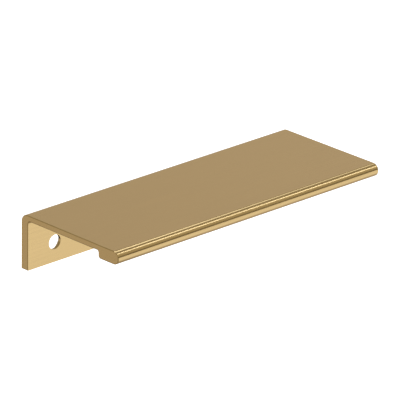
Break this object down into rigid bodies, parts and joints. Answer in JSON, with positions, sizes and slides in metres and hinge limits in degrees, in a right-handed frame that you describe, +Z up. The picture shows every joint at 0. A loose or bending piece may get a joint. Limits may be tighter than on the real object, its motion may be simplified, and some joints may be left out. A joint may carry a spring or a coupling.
{
  "type": "tab pull",
  "caption": "Flat extruded edge pull with a round-nosed finger lip in front and a hanging leg with countersunk screw holes, fixed over the top edge of a drawer or door front.",
  "frame": {"origin": "midway between the two screw holes, on the leg's front face, which lies against the back of the drawer front", "axes": "+X along the bar, +Y to the back, the way the screws leave, +Z up"},
  "size_m": [0.1016, 0.0399, 0.0166],
  "materials": {
    "satin_brass": "satin brass-coloured finish on extruded aluminium, with a fine grain along the bar"
  },
  "bodies": {
    "root": {"tab_pull": "satin_brass"}
  },
  "joints": []
}
